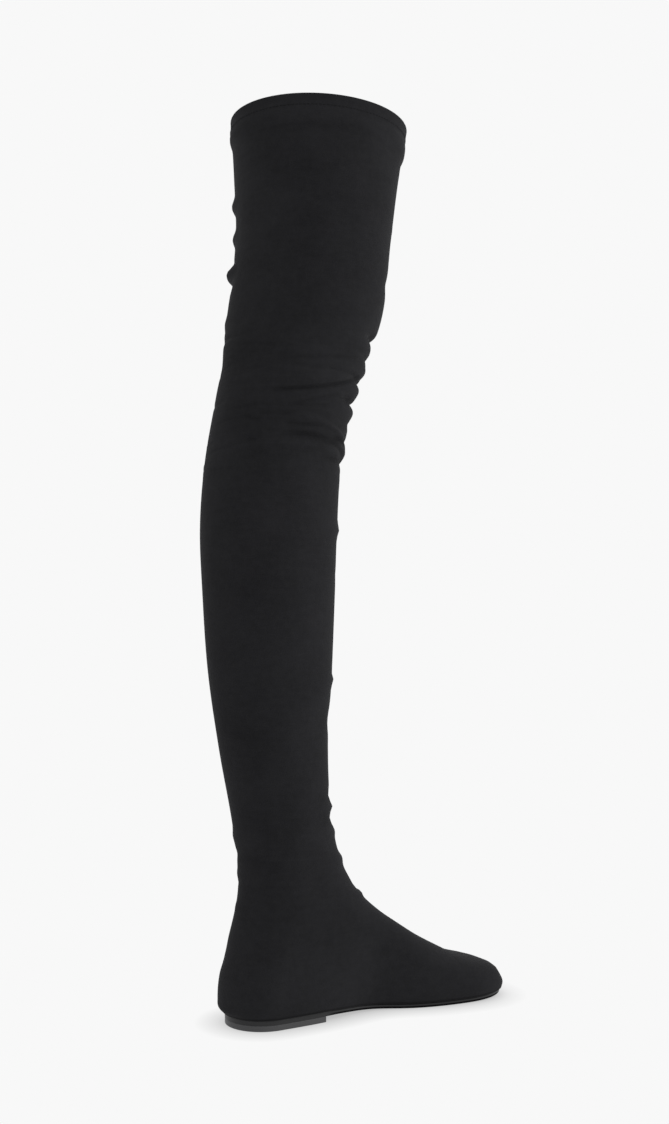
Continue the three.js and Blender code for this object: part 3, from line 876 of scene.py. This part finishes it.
def colour_by(nodes, links, shader, factor, name):
    """Gives the shader a colour on the way from a finish's dark tone to its light one. A factor of 0 lies
    in the middle, and half a unit less or more is one of the two ends."""
    dark, light = tones[name]
    ramp = nodes.new("ShaderNodeValToRGB")
    ramp.color_ramp.elements[0].color = (*dark, 1)
    ramp.color_ramp.elements[1].color = (*light, 1)
    centre = nodes.new("ShaderNodeMath")
    centre.operation = "ADD"
    centre.inputs[1].default_value = ramp_middle
    links.new(factor, centre.inputs[0])
    links.new(centre.outputs[0], ramp.inputs["Fac"])
    links.new(ramp.outputs["Color"], shader.inputs["Base Color"])


def bump(nodes, links, shader, height, distance, strength):
    """A bump of that height in metres on the shader's normal."""
    node = nodes.new("ShaderNodeBump")
    node.inputs["Strength"].default_value = strength
    node.inputs["Distance"].default_value = distance
    links.new(height, node.inputs["Height"])
    links.new(node.outputs["Normal"], shader.inputs["Normal"])


# %% Suede
def suede_finish():
    """Near-black suede: clouded and wrinkled colour, painted shade in the folds and along the lower edge at
    the sole and a little painted light on the ridges, with fibre bump and a sheen at the form's edges."""
    material, nodes, links, shader = new_finish("black_suede", 0.95, 0.12)
    clouds = noise(nodes, links, 24, 3)
    mottle = noise(nodes, links, 210, 2)
    wrinkled = noise(nodes, links, 70, 3, (1, 1, 5))
    fibres = noise(nodes, links, 1300, 3)
    # Painted shade: the folds' depth darkens the creases and lightens the ridges a little, and the lower edge
    # is darkened along the sole.
    fold_shade_and_light_node = nodes.new("ShaderNodeAttribute")
    fold_shade_and_light_node.attribute_name = "relief"
    feather_shade_node = nodes.new("ShaderNodeAttribute")
    feather_shade_node.attribute_name = "feather_shade"
    factor = weighted(nodes, links, [
        (clouds, 0.5, 0.6), (mottle, 0.5, 0.35), (wrinkled, 0.5, 0.25), (fibres, 0.5, 0.6),
        (fold_shade_and_light_node.outputs["Fac"], 0, 0.2), (feather_shade_node.outputs["Fac"], 0, -0.9),
    ])
    colour_by(nodes, links, shader, factor, "suede")
    shader.inputs["Sheen Weight"].default_value = 0.02
    shader.inputs["Sheen Roughness"].default_value = 0.35
    shader.inputs["Sheen Tint"].default_value = (0.62, 0.62, 0.66, 1)
    pile = weighted(nodes, links, [(fibres, 0.5, 1.0), (mottle, 0.5, 0.6), (wrinkled, 0.5, 1.2)])
    bump(nodes, links, shader, pile, 0.25 * mm, 0.5)
    return material


def jersey_finish():
    """The charcoal jersey that backs the suede: a fine knit, seen only down the collar."""
    material, nodes, links, shader = new_finish("jersey_backing", 0.9, 0.2)
    knit = noise(nodes, links, 900, 2, (1, 1, 2.5))
    clouds = noise(nodes, links, 40, 2)
    factor = weighted(nodes, links, [(knit, 0.5, 0.7), (clouds, 0.5, 0.5)])
    colour_by(nodes, links, shader, factor, "jersey")
    shader.inputs["Sheen Weight"].default_value = 0.1
    shader.inputs["Sheen Roughness"].default_value = 0.5
    bump(nodes, links, shader, knit, 0.3 * mm, 0.5)
    return material


# %% Rubber, thread and sock
def rubber_finish(name, tone_name, striped):
    """Inked rubber: even and half glossy, with faint marks of the sanding wheel along the edge. Where
    it is striped, only the middle of the edge is polished and lighter, as a painted highlight, and the rest
    stays dull and is darkened as painted shade."""
    material, nodes, links, shader = new_finish(name, 0.4, polished_mirror)
    sanded = noise(nodes, links, 260, 3, (1, 1, 6))
    blotches = noise(nodes, links, 60, 2)
    parts = [(sanded, 0.5, 0.25), (blotches, 0.5, 0.35)]
    if striped:
        # Where striped, the colour carries a painted highlight on the stripe and painted shade above and
        # below it.
        polish_and_painted_light_node = nodes.new("ShaderNodeAttribute")
        polish_and_painted_light_node.attribute_name = "polish_and_painted_light"
        parts.append((polish_and_painted_light_node.outputs["Fac"], 1, 1.4))
        gloss = nodes.new("ShaderNodeMapRange")
        gloss.inputs["To Min"].default_value = dull_mirror
        gloss.inputs["To Max"].default_value = polished_mirror
        links.new(polish_and_painted_light_node.outputs["Fac"], gloss.inputs["Value"])
        links.new(gloss.outputs["Result"], shader.inputs["Specular IOR Level"])
    factor = weighted(nodes, links, parts)
    colour_by(nodes, links, shader, factor, tone_name)
    bump(nodes, links, shader, sanded, 0.06 * mm, 0.5)
    return material


def thread_finish():
    """Black thread, as dull as the suede that it holds."""
    material, nodes, links, shader = new_finish("hem_thread", 0.7, 0.1)
    twist = noise(nodes, links, 1800, 1)
    factor = weighted(nodes, links, [(twist, 0.5, 1.0)])
    colour_by(nodes, links, shader, factor, "thread")
    return material


def sock_finish():
    """The insole's dark lining leather, with a fine grain."""
    material, nodes, links, shader = new_finish("sock_leather", 0.7, 0.35)
    grain = noise(nodes, links, 1300, 4)
    wear = noise(nodes, links, 30, 2)
    factor = weighted(nodes, links, [(grain, 0.5, 0.6), (wear, 0.5, 0.8)])
    colour_by(nodes, links, shader, factor, "sock")
    bump(nodes, links, shader, grain, 0.12 * mm, 0.5)
    return material


# %% Dress the pieces
suede = suede_finish()
jersey = jersey_finish()
sole_rubber = rubber_finish("inked_sole_rubber", "sole rubber", striped=True)
heel_rubber = rubber_finish("inked_heel_rubber_painted_light", "heel rubber with painted light", striped=False)

suede_upper.data.materials.append(suede)
suede_upper.data.materials.append(jersey)
# The jersey backs the inside, from facing_depth under the collar down to the margin's inner edge. The last
# rows of quads are the margin's underside, where the suede lies outwards again.
facing_depth = 12 * mm
underside_rows = 2
row_number = np.arange(len(upper_points))
first_inner = len(outer_rows) + len(hem_rise) + len(hem_angles)
inside = (row_number >= first_inner) & (row_number < len(upper_points) - underside_rows)
lower_than_facing = np.concatenate([stations[:, 0] < boot_height - facing_depth, [True] * len(under_foot)])
backing_row = inside & lower_than_facing
material_of_face = np.repeat(backing_row.astype(np.int32), columns)
suede_upper.data.polygons.foreach_set("material_index", material_of_face)

pieces = [
    # piece, finish, slot, the nodes it stands for
    (suede_upper, None, "suede", ["upper"]),
    (hem_stitches, thread_finish(), "suede", ["upper"]),
    (insole_sock, sock_finish(), "lining", ["insole"]),
    (rubber_outsole, sole_rubber, "sole_rubber", ["outsole"]),
    (heel_lift, heel_rubber, "heel_rubber", ["heel_lift"]),
]
for piece, finish, slot_name, stands_for in pieces:
    if finish:
        piece.data.materials.append(finish)
    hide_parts(*stands_for)
    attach(piece, "root")
print(len(pieces), "pieces ride on the boot")

# %% [markdown]
# ## Floor and light
# The boot stands on an even pale ground under soft light from all round. A floor that glows by itself
# never shows a gradient, and an occlusion node darkens it only where the boot comes close, which gives
# the narrow contact shadow of the photograph. One softbox stands low in front of the toe and lights the
# front of the shaft.

# %% Floor
ground_tone = 0.939
shadow_reach = 22 * mm
shadow_depth = 0.5


def floor_finish():
    """An even glow, darkened near the boot by ambient occlusion."""
    material = bpy.data.materials.new("pale_ground")
    material.use_nodes = True
    nodes = material.node_tree.nodes
    nodes.remove(nodes["Principled BSDF"])
    links = material.node_tree.links
    near = nodes.new("ShaderNodeAmbientOcclusion")
    near.inputs["Distance"].default_value = shadow_reach
    near.samples = 32
    ramp = nodes.new("ShaderNodeMapRange")
    ramp.inputs["To Min"].default_value = ground_tone * (1 - shadow_depth)
    ramp.inputs["To Max"].default_value = ground_tone
    glow = nodes.new("ShaderNodeEmission")
    links.new(near.outputs["AO"], ramp.inputs["Value"])
    links.new(ramp.outputs["Result"], glow.inputs["Color"])
    links.new(glow.outputs["Emission"], nodes["Material Output"].inputs["Surface"])
    return material


floor_reach = 30.0
floor_corners = np.array([(-1, -1, 0), (1, -1, 0), (1, 1, 0), (-1, 1, 0)]) * floor_reach
pale_floor = mesh_object("pale_floor", floor_corners, [(0, 1, 2, 3)])
pale_floor.data.materials.append(floor_finish())

# %% World and softboxes
scene = bpy.context.scene
scene.view_settings.view_transform = "Standard"
scene.view_settings.look = "None"
studio = bpy.data.worlds.new("white_studio")
studio.use_nodes = True
studio.node_tree.nodes["Background"].inputs["Color"].default_value = (ground_tone,) * 3 + (1,)
scene.world = studio


def softbox(name, spot, size, power):
    """A square area light at a spot, turned to the middle of the boot and hidden from the camera."""
    data = bpy.data.lights.new(name, "AREA")
    data.size = size
    data.energy = power
    lamp = bpy.data.objects.new(name, data)
    lamp.location = spot.tolist()
    towards = np.array([0, 0, boot_height / 2]) - spot
    flat = math.hypot(towards[0], towards[1])
    lamp.rotation_euler = (math.atan2(flat, -towards[2]), 0, math.atan2(-towards[0], towards[1]))
    lamp.visible_camera = False
    scene.collection.objects.link(lamp)


box_spot = 1.15 * aside + 0.15 * away + np.array([0, 0, 0.28])
box_size = 0.8
box_power = 8.7
softbox("toe_softbox", box_spot, box_size, box_power)
print("stage ready")
